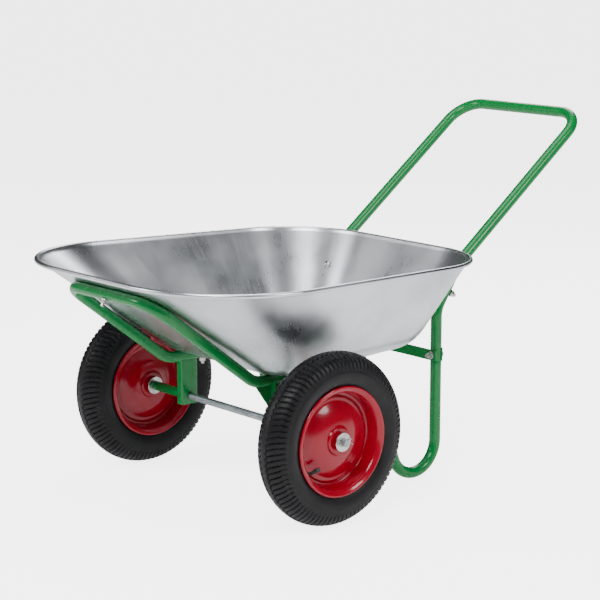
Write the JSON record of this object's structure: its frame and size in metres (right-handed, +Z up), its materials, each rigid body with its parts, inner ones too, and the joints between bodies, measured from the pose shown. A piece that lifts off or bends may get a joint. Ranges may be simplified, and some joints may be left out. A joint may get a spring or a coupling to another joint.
{
  "type": "two-wheeled wheelbarrow",
  "caption": "Two-wheeled garden wheelbarrow: galvanised tray on a bent green tube frame with a loop handle, bent legs and pneumatic wheels on red rims.",
  "frame": {"origin": "on the ground, at the middle of the overall length and width", "axes": "+X to the nose, away from the handle; +Y to the left wheel; +Z up"},
  "size_m": [1.2767, 0.7482, 0.7865],
  "materials": {
    "galvanised_sheet": "galvanised, soft sheen",
    "green_paint": "gloss powder coat",
    "red_paint": "gloss paint",
    "zinc_plate": "bright zinc plate",
    "tyre_rubber": "moulded rubber",
    "rubber": "smooth rubber",
    "black_plastic": "moulded plastic"
  },
  "bodies": {
    "frame": {"axle": "zinc_plate", "floor_bolts": "zinc_plate", "floor_nuts": "zinc_plate", "floor_washers": "zinc_plate", "front_loop_tube": "green_paint", "handle_tube": "green_paint", "left_axle_bracket": "green_paint", "left_axle_spacer": "green_paint", "left_bracket_gusset": "green_paint", "left_leg": "green_paint", "left_saddle_plate": "green_paint", "left_split_pin": "zinc_plate", "left_wheel_washers": "zinc_plate", "leg_bolts": "zinc_plate", "leg_nuts": "zinc_plate", "leg_strap": "green_paint", "leg_washers": "zinc_plate", "nose_bolt": "zinc_plate", "nose_nut": "zinc_plate", "nose_washer": "zinc_plate", "rear_wall_bolts": "zinc_plate", "rear_wall_nuts": "zinc_plate", "rear_wall_washers": "zinc_plate", "right_axle_bracket": "green_paint", "right_axle_spacer": "green_paint", "right_leg": "green_paint", "right_saddle_plate": "green_paint", "right_split_pin": "zinc_plate", "right_wheel_washers": "zinc_plate", "strap_bolts": "zinc_plate", "strap_nuts": "zinc_plate", "strap_washers": "zinc_plate", "tray": "galvanised_sheet"},
    "left_wheel": {"left_hub_bushes": "black_plastic", "left_hub_tube": "red_paint", "left_inner_tube": "rubber", "left_rim_inner_half": "red_paint", "left_rim_outer_half": "red_paint", "left_tyre": "tyre_rubber", "left_valve_cap": "black_plastic", "left_valve_stem": "rubber"},
    "right_wheel": {"right_hub_bushes": "black_plastic", "right_hub_tube": "red_paint", "right_inner_tube": "rubber", "right_rim_inner_half": "red_paint", "right_rim_outer_half": "red_paint", "right_tyre": "tyre_rubber", "right_valve_cap": "black_plastic", "right_valve_stem": "rubber"}
  },
  "joints": [
    {"name": "left_wheel_spin", "type": "hinge", "parent": "frame", "child": "left_wheel", "pos_m": [0.27315, 0.3165, 0.182], "axis": [0, 1, 0], "continuous": true},
    {"name": "right_wheel_spin", "type": "hinge", "parent": "frame", "child": "right_wheel", "pos_m": [0.27315, -0.3165, 0.182], "axis": [0, 1, 0], "continuous": true}
  ]
}
